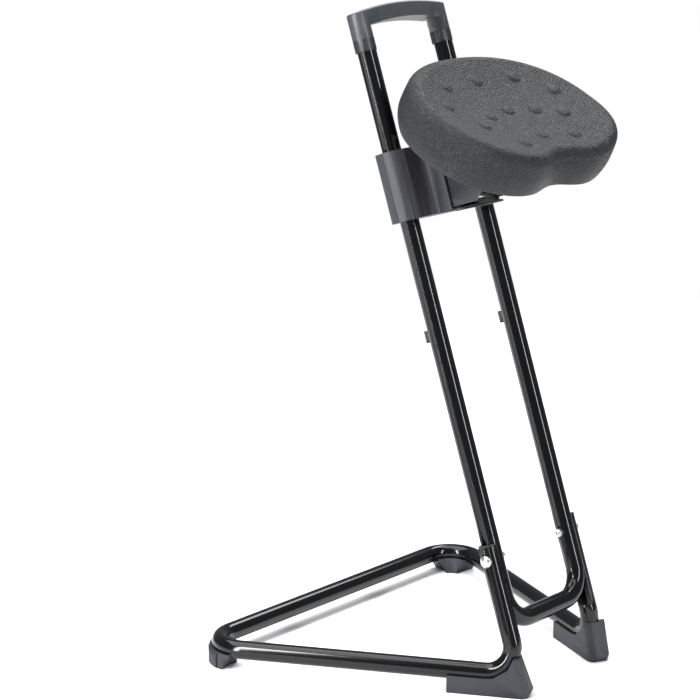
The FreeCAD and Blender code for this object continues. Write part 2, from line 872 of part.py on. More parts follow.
def make_bracket_screws():
    screws = []
    face = plate_front + bracket_sheet
    tip = plate_front - carriage_plate - bracket_screw_tail
    for across, up in bracket_screw_places():
        shank = rod(Vector(across, -tip, up), Vector(across, -face, up), bracket_screw_radius)
        head = rod(Vector(across, -face, up), Vector(across, -face - bracket_screw_head_height, up),
                   bracket_screw_head_radius)
        screws.append(lean_back(shank.fuse(head).removeSplitter()))
    return Part.makeCompound(screws)


# Release lever


def lever_pin_point(x):
    return mast_point(x, lever_pin_forward, cover_bottom + lever_pin_up)


def upright_pin_point(x):
    return Vector(x, -lever_pin_forward, cover_bottom + lever_pin_up)


def make_lever_pin():
    reach = bracket_half_width + clip_gap + clip_thickness + pin_tail
    return rod(lever_pin_point(-reach), lever_pin_point(reach), lever_pin_radius)


def make_pin_clips():
    clips = []
    for side in (-1, 1):
        start = bracket_half_width + clip_gap
        end = start + clip_thickness
        clips.append(ring(lever_pin_point(side * start), lever_pin_point(side * end), clip_radius,
                          lever_pin_radius))
    return Part.makeCompound(clips)


def make_release_lever():
    outer = bracket_half_width - bracket_sheet - lever_side_gap
    inner = outer - lever_sheet
    pin_up = cover_bottom + lever_pin_up
    paddle_top = cover_bottom - lever_paddle_drop + lever_sheet
    paddle_low = paddle_top - lever_sheet
    tail_low = clamp_low() - cover_gap - lever_sheet
    ear = [
        (lever_tail_reach, tail_low),
        (lever_pin_forward - 6, tail_low - 1),
        (lever_paddle_start, paddle_low),
        (lever_paddle_reach - lever_corner, paddle_low),
        (lever_paddle_reach - lever_corner, paddle_top),
        (lever_pin_forward + 6, pin_up + 5),
        (lever_pin_forward - 6, pin_up + 5),
        (lever_pin_forward - 9, tail_low + lever_sheet),
        (lever_tail_reach, tail_low + lever_sheet),
    ]
    ears = [side_prism(ear, -outer, -inner), side_prism(ear, inner, outer)]
    paddle = rounded_plate(Vector(-lever_paddle_half_width, -lever_paddle_reach, paddle_low),
                           Vector(lever_paddle_half_width, -lever_paddle_start, paddle_top), lever_corner)
    tail_bar = block(Vector(-outer, -lever_tail_reach - 5, tail_low),
                     Vector(outer, -lever_tail_reach, tail_low + lever_sheet))
    lever = fuse_all([paddle, tail_bar] + ears)
    reach = 2 * bracket_half_width
    hole = rod(upright_pin_point(-reach), upright_pin_point(reach), lever_pin_radius + lever_pin_clearance)
    return lean_back(lever.cut(hole))


def make_lever_spring():
    return ring(lever_pin_point(-lever_spring_half_length), lever_pin_point(lever_spring_half_length),
                lever_spring_radius, lever_pin_radius + lever_pin_clearance)


# Seat


def seat_outline(angle, half_width, front, rear, notch):
    """A point of a ring of the seat, at an angle from +X: rounded sides, and a dip in the front."""
    cosine = math.cos(angle)
    sine = math.sin(angle)
    power = seat_rear_squareness if sine > 0 else seat_side_squareness
    reach = rear if sine > 0 else front
    x = half_width * math.copysign(abs(cosine) ** (2 / power), cosine)
    y = reach * math.copysign(abs(sine) ** (2 / power), sine)
    if y < 0:
        dip = notch * math.exp(-(x / seat_notch_width) ** 2)
        y = y + dip * (abs(y) / front) ** 3
    return x, y


def seat_ring(height, draw_in, notch):
    """A closed ring of arcs round the seat at a height above its rim plane."""
    points = []
    for step in range(seat_ring_points):
        angle = 2 * math.pi * step / seat_ring_points
        x, y = seat_outline(angle, seat_half_width - draw_in, seat_front - draw_in, seat_rear - draw_in, notch)
        points.append(Vector(x, y, height))
    edges = []
    for index in range(0, seat_ring_points, 2):
        after = points[(index + 2) % seat_ring_points]
        edges.append(Part.Arc(points[index], points[index + 1], after).toShape())
    return Part.Wire(edges)


def nub_places():
    """Thirteen nubs in rows of three, two, three, two and three: across, and back from the middle."""
    rows = [(70.1, 64.7, True, 70.6), (111.8, 25.2, False, 0), (46.2, 2.3, True, 10),
            (84.0, -17.6, False, 0), (52.9, -62, True, -48.6)]
    places = []
    for across, back, has_middle, middle_back in rows:
        places.append((-across, back))
        places.append((across, back))
        if has_middle:
            places.append((0, middle_back))
    return places


def make_seat_pad():
    """A cushion with drawn-in sides under a belly, a hollowed top, a rolled edge and small round nubs."""
    top_reach = max(seat_half_width, seat_front, seat_rear)
    above_dish = seat_core_height + top_reach ** 2 / (2 * seat_dish_radius) + seat_roll_radius
    body = Part.makeLoft([
        seat_ring(0, seat_draw_in, seat_notch * 0.35),
        seat_ring(seat_belly_height * 0.35, seat_draw_in * 0.35, seat_notch * 0.5),
        seat_ring(seat_belly_height, 0, seat_notch * 0.65),
        seat_ring(seat_core_height, seat_draw_in * 0.1, seat_notch * 0.9),
        seat_ring(above_dish, seat_draw_in * 0.35, seat_notch),
    ], True, False)
    dish_center = Vector(0, 0, seat_core_height + seat_dish_radius)
    body = body.cut(Part.makeSphere(seat_dish_radius, dish_center))
    rim = [edge for edge in body.Edges if is_on_dish(edge, dish_center)]
    pad = body.makeFillet(seat_roll_radius, rim)
    nub_sphere = (nub_radius ** 2 + nub_height ** 2) / (2 * nub_height)
    for x, y in nub_places():
        foot = Vector(x, y, dish_center.z - math.sqrt(seat_dish_radius ** 2 - x * x - y * y))
        outward = (dish_center - foot).normalize()
        sphere = Part.makeSphere(nub_sphere, foot + outward * (nub_height - nub_sphere))
        around = rod(foot - outward * nub_height, foot + outward * 2 * nub_height, nub_radius * 1.1)
        pad = pad.fuse(sphere.common(around))
    return place_on_seat(pad.cut(insert_plate()))


def is_on_dish(edge, dish_center):
    return all(abs((vertex.Point - dish_center).Length - seat_dish_radius) < 0.1 for vertex in edge.Vertexes)


def insert_plate():
    return rounded_plate(Vector(-insert_half_width, -insert_front, 0),
                         Vector(insert_half_width, insert_rear, insert_thickness), insert_corner)


def make_seat_insert():
    plate = insert_plate()
    for across, back_along in seat_screw_places():
        plate = plate.cut(rod(Vector(across, back_along, 0), Vector(across, back_along, seat_screw_length),
                              seat_screw_radius))
    return place_on_seat(plate)


def seat_screw_places():
    return [(side * seat_screw_side, back) for side in (-1, 1) for back in (-seat_screw_front, seat_screw_rear)]


def make_seat_screws():
    screws = []
    for across, back_along in seat_screw_places():
        seat = Vector(across, back_along, -bracket_top_plate)
        shank = rod(seat, Vector(across, back_along, seat_screw_length), seat_screw_radius)
        head = dome(seat, -Z_AXIS, seat_screw_head_radius, seat_screw_head_height)
        screws.append(place_on_seat(shank.fuse(head).removeSplitter()))
    return Part.makeCompound(screws)


def build_parts():
    parts = {
        "mast_tube": make_mast_tube(),
        "handle_grip": make_handle_grip(),
        "handle_screws": make_handle_screws(),
        "base_tube": make_base_tube(),
        "foot_screws": make_foot_screws(),
        "carriage_frame": make_carriage_frame(),
        "clamp_plate": make_clamp_plate(),
        "clamp_springs": make_clamp_springs(),
        "cover_screws": make_cover_screws(),
        "seat_bracket": make_seat_bracket(),
        "bracket_screws": make_bracket_screws(),
        "lever_pin": make_lever_pin(),
        "pin_clips": make_pin_clips(),
        "release_lever": make_release_lever(),
        "lever_spring": make_lever_spring(),
        "seat_pad": make_seat_pad(),
        "seat_insert": make_seat_insert(),
        "seat_screws": make_seat_screws(),
    }
    parts["cover_front"], parts["cover_rear"] = make_cover_halves()
    tube = base_rod(tube_radius)
    for name, side in SIDES.items():
        parts["handle_collar_" + name] = make_handle_collar(side)
        parts["travel_stop_" + name] = make_travel_stop(side)
        parts["base_bolt_" + name] = make_base_bolt(side)
        parts["base_nut_" + name] = make_base_nut(side)
        parts["leg_cap_" + name] = make_leg_cap(side)
        parts["front_foot_" + name] = make_front_foot(side, tube)
        parts["rear_foot_" + name] = make_rear_foot(side, tube)
        parts["guide_bush_upper_" + name] = make_guide_bush(side, 1)
        parts["guide_bush_lower_" + name] = make_guide_bush(side, -1)
    return parts


os.makedirs("parts", exist_ok=True)
for node, shape in build_parts().items():
    state = "ok" if shape.isValid() else "INVALID"
    print(f"{node:24s} {state:8s} solids {len(shape.Solids)}  volume {shape.Volume / 1000:9.2f} cm3")
    shape.exportStep(f"parts/{node}.step")
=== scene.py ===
"""A perch stool's visual model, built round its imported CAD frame.

Metres, +X across the stool, +Y towards its back, +Z up; the floor is z = 0.
The sections follow the stool as it is put together, from the base up to the seat.
"""
import math

import bpy
from mathutils import Matrix, Vector


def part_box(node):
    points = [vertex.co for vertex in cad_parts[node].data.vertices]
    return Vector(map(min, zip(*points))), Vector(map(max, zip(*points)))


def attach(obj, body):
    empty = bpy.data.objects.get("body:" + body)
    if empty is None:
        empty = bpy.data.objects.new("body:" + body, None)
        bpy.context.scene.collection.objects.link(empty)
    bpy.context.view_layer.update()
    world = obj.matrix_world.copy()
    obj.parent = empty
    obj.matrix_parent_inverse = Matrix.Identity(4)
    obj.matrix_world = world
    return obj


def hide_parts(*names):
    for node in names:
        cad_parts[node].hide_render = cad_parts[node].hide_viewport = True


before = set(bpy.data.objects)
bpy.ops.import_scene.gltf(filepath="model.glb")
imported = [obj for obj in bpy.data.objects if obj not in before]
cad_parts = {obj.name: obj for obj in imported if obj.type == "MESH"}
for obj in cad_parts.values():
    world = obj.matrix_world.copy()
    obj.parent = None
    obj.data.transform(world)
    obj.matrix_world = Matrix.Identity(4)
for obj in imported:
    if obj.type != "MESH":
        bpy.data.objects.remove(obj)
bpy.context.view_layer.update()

# Base: one length of 25 mm round steel tube, bent to a splayed base with two short legs, their inner
# sides pressed in to nest round the mast. It is welded up, then powder coated gloss black: a deep,
# nearly black coat with a faint ripple that breaks up the edges of a reflection.


def linear(hex_colour):
    """A linear RGBA colour from an sRGB hex value."""
    channels = [int(hex_colour[start:start + 2], 16) / 255 for start in (1, 3, 5)]
    values = [c / 12.92 if c <= 0.04045 else ((c + 0.055) / 1.055) ** 2.4 for c in channels]
    return (*values, 1.0)


def add_node(tree, kind, settings, links=()):
    """A node with its settings, by attribute or by socket name or number, and the links into it."""
    node = tree.nodes.new(kind)
    for name, value in settings.items():
        if isinstance(name, str) and hasattr(node, name):
            setattr(node, name, value)
        else:
            node.inputs[name].default_value = value
    for socket, source in links:
        tree.links.new(source, node.inputs[socket])
    return node


def new_material(name):
    """An empty material with its output, and a texture coordinate node to read."""
    material = bpy.data.materials.new(name)
    material.use_nodes = True
    tree = material.node_tree
    tree.nodes.clear()
    output = tree.nodes.new("ShaderNodeOutputMaterial")
    place = tree.nodes.new("ShaderNodeTexCoord").outputs["Object"]
    return material, tree, output, place


def per_metre(size):
    """A pattern's scale on Object coordinates, from the real size of its grain in millimetres."""
    return 1000 / size


def deselect():
    bpy.ops.object.select_all(action="DESELECT")


def finish_nodes(names, material):
    """Give carried-over CAD nodes their material."""
    for name in names:
        for material_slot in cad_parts[name].material_slots:
            material_slot.material = material


def smooth_piece(node, name, body, material):
    """A copy of a CAD node with its triangles joined and its round faces shaded smooth."""
    sharpest_smooth_edge = math.radians(35)
    same_point = 1e-6
    deselect()
    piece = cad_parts[node].copy()
    piece.data = piece.data.copy()
    piece.name = name
    piece.parent = None
    for key in list(piece.keys()):
        del piece[key]
    bpy.context.scene.collection.objects.link(piece)
    piece.select_set(True)
    bpy.context.view_layer.objects.active = piece
    bpy.ops.object.mode_set(mode="EDIT")
    bpy.ops.mesh.select_all(action="SELECT")
    bpy.ops.mesh.remove_doubles(threshold=same_point)
    bpy.ops.object.mode_set(mode="OBJECT")
    bpy.ops.object.shade_smooth_by_angle(angle=sharpest_smooth_edge)
    piece.data.materials.clear()
    piece.data.materials.append(material)
    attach(piece, body)
    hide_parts(node)
    return piece


powder_coat, tree, output, place = new_material("gloss_powder_coat")
ripple = add_node(tree, "ShaderNodeTexNoise", {"Scale": per_metre(1.4), "Detail": 1.0},
                  [("Vector", place)])
ripple_bump = add_node(tree, "ShaderNodeBump", {"Strength": 0.08, "Distance": 0.0002},
                       [("Height", ripple.outputs["Fac"])])
coat_depth = add_node(tree, "ShaderNodeTexNoise", {"Scale": per_metre(45), "Detail": 3.0},
                      [("Vector", place)])
coat_colour = add_node(tree, "ShaderNodeMix",
                       {"data_type": "RGBA", 6: linear("#020203"), 7: linear("#08080B")},
                       [("Factor", coat_depth.outputs["Fac"])])
coat = add_node(tree, "ShaderNodeBsdfPrincipled", {"Roughness": 0.13, "IOR": 1.42},
                [("Base Color", coat_colour.outputs[2]), ("Normal", ripple_bump.outputs["Normal"])])
tree.links.new(coat.outputs["BSDF"], output.inputs["Surface"])

smooth_piece("base_tube", "base_frame_tube", "frame", powder_coat)

# Feet: two shoes at the front bends and two saddles at the rear ones, injection moulded in a matte
# blue-grey thermoplastic rubber over the tube, with a fine spark-eroded grain and faint paler clouds.
# Each is held by one zinc-plated screw from below.
foot_plastic, tree, output, place = new_material("foot_rubber")
grain = add_node(tree, "ShaderNodeTexNoise", {"Scale": per_metre(0.9), "Detail": 2.0},
                 [("Vector", place)])
grain_bump = add_node(tree, "ShaderNodeBump", {"Strength": 0.35, "Distance": 0.0002},
                      [("Height", grain.outputs["Fac"])])
blotch = add_node(tree, "ShaderNodeTexNoise", {"Scale": per_metre(22), "Detail": 4.0},
                  [("Vector", place)])
foot_colour = add_node(tree, "ShaderNodeMix",
                       {"data_type": "RGBA", 6: linear("#1A1C22"), 7: linear("#21232B")},
                       [("Factor", blotch.outputs["Fac"])])
foot_rough = add_node(tree, "ShaderNodeMapRange", {"To Min": 0.5, "To Max": 0.66},
                      [("Value", blotch.outputs["Fac"])])
foot = add_node(tree, "ShaderNodeBsdfPrincipled", {"IOR": 1.5},
                [("Base Color", foot_colour.outputs[2]), ("Roughness", foot_rough.outputs["Result"]),
                 ("Normal", grain_bump.outputs["Normal"])])
tree.links.new(foot.outputs["BSDF"], output.inputs["Surface"])

for side in ("left", "right"):
    smooth_piece("front_foot_" + side, "front_shoe_" + side, "frame", foot_plastic)
    smooth_piece("rear_foot_" + side, "rear_saddle_" + side, "frame", foot_plastic)

# Fasteners, lever pin and springs: cold-headed or turned steel, bright zinc plated and passivated, so
# they are pale with a faint blue-yellow cloud, and their gloss changes a little from tumbling.
zinc, tree, output, place = new_material("zinc_plated_steel")
cloud = add_node(tree, "ShaderNodeTexNoise", {"Scale": per_metre(3.8), "Detail": 3.0},
                 [("Vector", place)])
zinc_colour = add_node(tree, "ShaderNodeMix",
                       {"data_type": "RGBA", 6: linear("#C9CDD2"), 7: linear("#DAD8CC")},
                       [("Factor", cloud.outputs["Fac"])])
zinc_rough = add_node(tree, "ShaderNodeMapRange", {"To Min": 0.22, "To Max": 0.4},
                      [("Value", cloud.outputs["Fac"])])
plating = add_node(tree, "ShaderNodeBsdfPrincipled", {"Metallic": 1.0},
                   [("Base Color", zinc_colour.outputs[2]),
                    ("Roughness", zinc_rough.outputs["Result"])])
tree.links.new(plating.outputs["BSDF"], output.inputs["Surface"])

for side in ("left", "right"):
    smooth_piece("base_bolt_" + side, "round_head_bolt_" + side, "frame", zinc)
finish_nodes(["foot_screws", "base_nut_left", "base_nut_right", "lever_pin", "pin_clips", "bracket_screws",
              "seat_screws", "clamp_springs"], zinc)

# Leg caps, travel stops and handle collars: small black moulded nylon pieces, pushed into or over
# the tube. Their satin face is nearly plain, with a faint change of gloss.
nylon, tree, output, place = new_material("black_nylon")
nylon_mottle = add_node(tree, "ShaderNodeTexNoise", {"Scale": per_metre(3.3), "Detail": 2.0},
                        [("Vector", place)])
nylon_rough = add_node(tree, "ShaderNodeMapRange", {"To Min": 0.34, "To Max": 0.5},
                       [("Value", nylon_mottle.outputs["Fac"])])
nylon_bump = add_node(tree, "ShaderNodeBump", {"Strength": 0.1, "Distance": 0.0001},
                      [("Height", nylon_mottle.outputs["Fac"])])
nylon_face = add_node(tree, "ShaderNodeBsdfPrincipled", {"Base Color": linear("#17181B"), "IOR": 1.53},
                      [("Roughness", nylon_rough.outputs["Result"]),
                       ("Normal", nylon_bump.outputs["Normal"])])
tree.links.new(nylon_face.outputs["BSDF"], output.inputs["Surface"])

for side in ("left", "right"):
    smooth_piece("leg_cap_" + side, "leg_plug_" + side, "frame", nylon)
    smooth_piece("travel_stop_" + side, "slide_stop_" + side, "frame", nylon)
    smooth_piece("handle_collar_" + side, "handle_ring_" + side, "frame", nylon)

# Mast: a second tube bent to a U, nested in the base's legs and leaning back with them; the same
# gloss black coat.
smooth_piece("mast_tube", "mast_frame_tube", "frame", powder_coat)

# Handle: a bow moulded in glass-filled nylon, pushed over the mast's ends and screwed from behind.
# Satin dark grey, with slightly paler clouds where hands have polished it.
grip_plastic, tree, output, place = new_material("handle_nylon")
grip_grain = add_node(tree, "ShaderNodeTexNoise", {"Scale": per_metre(1.1), "Detail": 2.0},
                      [("Vector", place)])
grip_bump = add_node(tree, "ShaderNodeBump", {"Strength": 0.25, "Distance": 0.00015},
                     [("Height", grip_grain.outputs["Fac"])])
grip_wear = add_node(tree, "ShaderNodeTexNoise", {"Scale": per_metre(17), "Detail": 4.0},
                     [("Vector", place)])
grip_colour = add_node(tree, "ShaderNodeMix",
                       {"data_type": "RGBA", 6: linear("#303236"), 7: linear("#3A3D42")},
                       [("Factor", grip_wear.outputs["Fac"])])
grip = add_node(tree, "ShaderNodeBsdfPrincipled", {"Roughness": 0.42, "IOR": 1.53},
                [("Base Color", grip_colour.outputs[2]), ("Normal", grip_bump.outputs["Normal"])])
tree.links.new(grip.outputs["BSDF"], output.inputs["Surface"])
smooth_piece("handle_grip", "handle_bow", "frame", grip_plastic)

# Black-oxide screws of the handle and of the carriage cover: a dark, slightly metallic oxide.
oxide, tree, output, place = new_material("black_oxide")
oxide_mottle = add_node(tree, "ShaderNodeTexNoise", {"Scale": per_metre(2), "Detail": 2.0},
                        [("Vector", place)])
oxide_rough = add_node(tree, "ShaderNodeMapRange", {"To Min": 0.3, "To Max": 0.5},
                       [("Value", oxide_mottle.outputs["Fac"])])
oxide_face = add_node(tree, "ShaderNodeBsdfPrincipled", {"Base Color": linear("#303032"), "Metallic": 0.8},
                      [("Roughness", oxide_rough.outputs["Result"])])
tree.links.new(oxide_face.outputs["BSDF"], output.inputs["Surface"])
finish_nodes(["handle_screws", "cover_screws"], oxide)

# Carriage: two sleeves on off-white acetal bushes and a plate between them, in dark grey powder
# coat, with the clamp plate that bites on the uprights below. All of it hides in a moulded cover.
dark_coat, tree, output, place = new_material("fine_texture_coat")
coat_grain = add_node(tree, "ShaderNodeTexNoise", {"Scale": per_metre(0.9), "Detail": 2.0},
                      [("Vector", place)])
coat_bump = add_node(tree, "ShaderNodeBump", {"Strength": 0.3, "Distance": 0.0001},
                     [("Height", coat_grain.outputs["Fac"])])
dark_mottle = add_node(tree, "ShaderNodeTexNoise", {"Scale": per_metre(12.5), "Detail": 3.0},
                       [("Vector", place)])
dark_colour = add_node(tree, "ShaderNodeMix",
                       {"data_type": "RGBA", 6: linear("#1C1D21"), 7: linear("#26272C")},
                       [("Factor", dark_mottle.outputs["Fac"])])
dark_face = add_node(tree, "ShaderNodeBsdfPrincipled", {"Roughness": 0.5, "IOR": 1.5},
                     [("Base Color", dark_colour.outputs[2]), ("Normal", coat_bump.outputs["Normal"])])
tree.links.new(dark_face.outputs["BSDF"], output.inputs["Surface"])
finish_nodes(["carriage_frame", "clamp_plate"], dark_coat)
smooth_piece("seat_bracket", "seat_channel", "carriage", dark_coat)

acetal, tree, output, place = new_material("white_acetal")
acetal_mottle = add_node(tree, "ShaderNodeTexNoise", {"Scale": per_metre(6.7), "Detail": 2.0},
                         [("Vector", place)])
acetal_rough = add_node(tree, "ShaderNodeMapRange", {"To Min": 0.3, "To Max": 0.4},
                        [("Value", acetal_mottle.outputs["Fac"])])
acetal_face = add_node(tree, "ShaderNodeBsdfPrincipled", {"Base Color": linear("#DDDCD4"), "IOR": 1.48},
                       [("Roughness", acetal_rough.outputs["Result"])])
tree.links.new(acetal_face.outputs["BSDF"], output.inputs["Surface"])
finish_nodes([f"guide_bush_{end}_{side}" for end in ("upper", "lower") for side in ("left", "right")],
             acetal)

# Cover: two shells moulded in blue-grey ABS with a fine eroded grain, joined by four screws from
# behind. Its lobes wrap the uprights and its socket runs forward beside the seat's bracket.
cover_plastic, tree, output, place = new_material("eroded_abs")
cover_grain = add_node(tree, "ShaderNodeTexNoise", {"Scale": per_metre(1), "Detail": 2.0},
                       [("Vector", place)])
cover_bump = add_node(tree, "ShaderNodeBump", {"Strength": 0.35, "Distance": 0.0002},
                      [("Height", cover_grain.outputs["Fac"])])
cover_cloud = add_node(tree, "ShaderNodeTexNoise", {"Scale": per_metre(29), "Detail": 3.0},
                       [("Vector", place)])
cover_colour = add_node(tree, "ShaderNodeMix",
                        {"data_type": "RGBA", 6: linear("#1D1F26"), 7: linear("#23252D")},
                        [("Factor", cover_cloud.outputs["Fac"])])
cover_face = add_node(tree, "ShaderNodeBsdfPrincipled", {"Roughness": 0.55, "IOR": 1.54},
                      [("Base Color", cover_colour.outputs[2]),
                       ("Normal", cover_bump.outputs["Normal"])])
tree.links.new(cover_face.outputs["BSDF"], output.inputs["Surface"])
smooth_piece("cover_front", "carriage_shell_front", "carriage", cover_plastic)
smooth_piece("cover_rear", "carriage_shell_rear", "carriage", cover_plastic)

# Release lever: 3 mm sheet steel on a pin through the bracket, with the same dark coat. Its torsion
# spring is wound from 1.4 mm wire round the pin and holds the lever's tail up.
smooth_piece("release_lever", "lever_plate", "lever", dark_coat)

wire_radius = 0.0007
coil_radius = 0.0055
coil_turns = 9
wire_sides = 10
steps_per_turn = 28
end_allowance = 2.2 * wire_radius
spring_low, spring_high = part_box("lever_spring")
spring_middle = (spring_low + spring_high) / 2
coil_length = spring_high.x - spring_low.x - end_allowance
deselect()
bpy.ops.mesh.primitive_circle_add(vertices=wire_sides, radius=wire_radius, fill_type="NOTHING",
                                  location=(coil_radius, 0, 0), rotation=(math.pi / 2, 0, 0))
coil = bpy.context.object
coil.name = "torsion_spring"
bpy.ops.object.transform_apply(location=True, rotation=True, scale=True)
winding = coil.modifiers.new("winding", "SCREW")
winding.axis = "Z"
winding.screw_offset = coil_length / coil_turns
winding.iterations = coil_turns
winding.steps = steps_per_turn
winding.render_steps = steps_per_turn
bpy.ops.object.modifier_apply(modifier="winding")
bpy.ops.object.mode_set(mode="EDIT")
bpy.ops.mesh.select_all(action="SELECT")
bpy.ops.mesh.remove_doubles(threshold=0.000001)
bpy.ops.mesh.fill_holes(sides=0)
bpy.ops.mesh.normals_make_consistent(inside=False)
bpy.ops.object.mode_set(mode="OBJECT")
bpy.ops.object.shade_smooth_by_angle(angle=math.radians(40))
coil.data.transform(Matrix.Translation((0, 0, -coil_length / 2)))
coil.data.transform(Matrix.Translation(spring_middle) @ Matrix.Rotation(math.pi / 2, 4, "Y"))
coil.data.materials.append(zinc)
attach(coil, "lever")
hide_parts("lever_spring")

# Insert: 10 mm birch plywood moulded into the foam's underside; its faces are raw, pale wood with
# fine straight grain across the stool, a little darker between the rings.
plywood, tree, output, place = new_material("birch_plywood")
along_grain = add_node(tree, "ShaderNodeMapping", {}, [("Vector", place)])
along_grain.inputs["Scale"].default_value = (per_metre(56), per_metre(2.1), per_metre(2.1))
figure = add_node(tree, "ShaderNodeTexNoise", {"Scale": 1.0, "Detail": 4.0},
                  [("Vector", along_grain.outputs["Vector"])])
wood_colour = add_node(tree, "ShaderNodeMix",
                       {"data_type": "RGBA", 6: linear("#C9A878"), 7: linear("#E0C79C")},
                       [("Factor", figure.outputs["Fac"])])
wood = add_node(tree, "ShaderNodeBsdfPrincipled", {"Roughness": 0.7, "IOR": 1.5},
                [("Base Color", wood_colour.outputs[2])])
tree.links.new(wood.outputs["BSDF"], output.inputs["Surface"])
finish_nodes(["seat_insert"], plywood)

# Seat: one moulding of self-skinned polyurethane foam over the insert, charcoal, with a leather
# grain in its skin, a rolled edge round a shallow dish, a notch at the front, and thirteen low nubs
# that keep the sitter from sliding. All sizes here are millimetres in the seat's own flat frame.
seat_tilt = math.radians(27.2)
mast_lean = math.radians(18.8)
mast_floor_y = -203.6
seat_forward = 110.0
seat_up = 695.5
half_width = 163.0
front_reach = 112.0
rear_reach = 124.0
front_power = 2.55
rear_power = 2.15
bottom_notch = 15.0
top_notch = 19.5
notch_fade = 3
dip_fade = 4
notch_width = 42.0
core_height = 47.0
belly_height = 26.0
bottom_draw_in = 7.5
draw_in_change = 3.5
top_draw_in = 0.8
dish_radius = 714.0
roll_radius = 15.0
rear_lift = 9.0
front_dip = 5.0
underside_recess = 1.5
recess_border = 0.1
nub_fullness = 0.6
nub_radius = 9.5
nub_height = 3.0
nub_rows = [(70.1, 64.7, 70.6), (111.8, 25.2, None), (46.2, 2.3, 10.0),
            (84.0, -17.6, None), (52.9, -62.0, -48.6)]
nubs = []
for across, back, middle_back in nub_rows:
    nubs += [(-across, back), (across, back)]
    if middle_back is not None:
        nubs.append((0.0, middle_back))


def seat_edge(angle, draw_in, notch):
    """A point of the seat's outline at an angle, drawn in from its widest and notched at the front."""
    cosine, sine = math.cos(angle), math.sin(angle)
    power = rear_power if sine > 0 else front_power
    front = front_reach - draw_in
    reach = rear_reach - draw_in if sine > 0 else front
    x = (half_width - draw_in) * math.copysign(abs(cosine) ** (2 / power), cosine)
    y = reach * math.copysign(abs(sine) ** (2 / power), sine)
    if y < 0:
        y += notch * math.exp(-(x / notch_width) ** 2) * (abs(y) / front) ** notch_fade
    return x, y


def side_draw_in(angle, height, shoulder):
    """How far the side stands in from the belly at a height above the rim, less at the front."""
    if height < belly_height:
        bottom = bottom_draw_in + draw_in_change * math.sin(angle)
        return bottom * (1 - height / belly_height) ** 2
    return top_draw_in * ((height - belly_height) / (shoulder - belly_height)) ** 2


def top_height(x, y):
    """Height of the seat's top: a dish that rises towards the back and dips at the front notch."""
    height = core_height + (x * x + y * y) / (2 * dish_radius)
    if y > 0:
        return height + rear_lift * (y / rear_reach) ** 2
    return height - front_dip * math.exp(-(x / notch_width) ** 2) * (y / front_reach) ** dip_fade


# The skin's rings are shared out between the underside, the side, the roll and the top.
bottom_end = 0.06
side_end = 0.24
roll_end = 0.38


def seat_point(angle, way):
    """A point of the foam's skin: way runs from 0 at the underside's middle to 1 at the top's."""
    if way < bottom_end:
        x, y = seat_edge(angle, side_draw_in(angle, 0, core_height), bottom_notch)
        share = way / bottom_end
        return Vector((x * share, y * share, underside_recess * min(1.0, (1 - share) / recess_border)))
    x, y = seat_edge(angle, top_draw_in, top_notch)
    reach = math.hypot(x, y)
    inner = reach - roll_radius
    edge_x, edge_y = x * inner / reach, y * inner / reach
    nearer = 0.98
    rise = top_height(edge_x, edge_y) - top_height(edge_x * nearer, edge_y * nearer)
    slope = math.atan(rise / (inner * (1 - nearer)))
    inner -= roll_radius * math.sin(slope)
    edge_x, edge_y = x * inner / reach, y * inner / reach
    center_height = top_height(edge_x, edge_y) - roll_radius * math.cos(slope)
    if way < side_end:
        share = (way - bottom_end) / (side_end - bottom_end)
        height = center_height * share
        notch = bottom_notch + (top_notch - bottom_notch) * share
        x, y = seat_edge(angle, side_draw_in(angle, height, center_height), notch)
        return Vector((x, y, height))
    if way < roll_end:
        turn = (way - side_end) / (roll_end - side_end) * (math.pi / 2 + slope)
        ring = reach - roll_radius + roll_radius * math.cos(turn)
        height = center_height + roll_radius * math.sin(turn)
        return Vector((x * ring / reach, y * ring / reach, height))
    share = (1 - way) / (1 - roll_end)
    ring = inner * share
    x, y = x * ring / reach, y * ring / reach
    height = top_height(x, y)
    for nub_x, nub_y in nubs:
        apart = math.hypot(x - nub_x, y - nub_y) / nub_radius
        if apart < 1:
            height += nub_height * (1 - apart ** 2) ** nub_fullness
    return Vector((x, y, height))


seat_segments = 320
seat_rings = 240
deselect()
bpy.ops.mesh.primitive_uv_sphere_add(segments=seat_segments, ring_count=seat_rings, radius=1.0)
seat = bpy.context.object
seat.name = "seat_cushion"
across_mast = Vector((0.0, -math.cos(mast_lean), math.sin(mast_lean)))
along_mast = Vector((0.0, math.sin(mast_lean), math.cos(mast_lean)))
seat_place = Vector((0, mast_floor_y, 0)) + across_mast * seat_forward + along_mast * seat_up
to_seat = Matrix.Translation(seat_place) @ Matrix.Rotation(seat_tilt, 4, "X")
for vertex in seat.data.vertices:
    place_on_ball = vertex.co.normalized()
    way = math.asin(max(-1.0, min(1.0, place_on_ball.z))) / math.pi + 0.5
    angle = math.atan2(place_on_ball.y, place_on_ball.x)
    vertex.co = (to_seat @ seat_point(angle, way)) / 1000
bpy.ops.object.mode_set(mode="EDIT")
bpy.ops.mesh.select_all(action="SELECT")
bpy.ops.mesh.normals_make_consistent(inside=False)
bpy.ops.object.mode_set(mode="OBJECT")
bpy.ops.object.shade_smooth_by_angle(angle=math.radians(50))

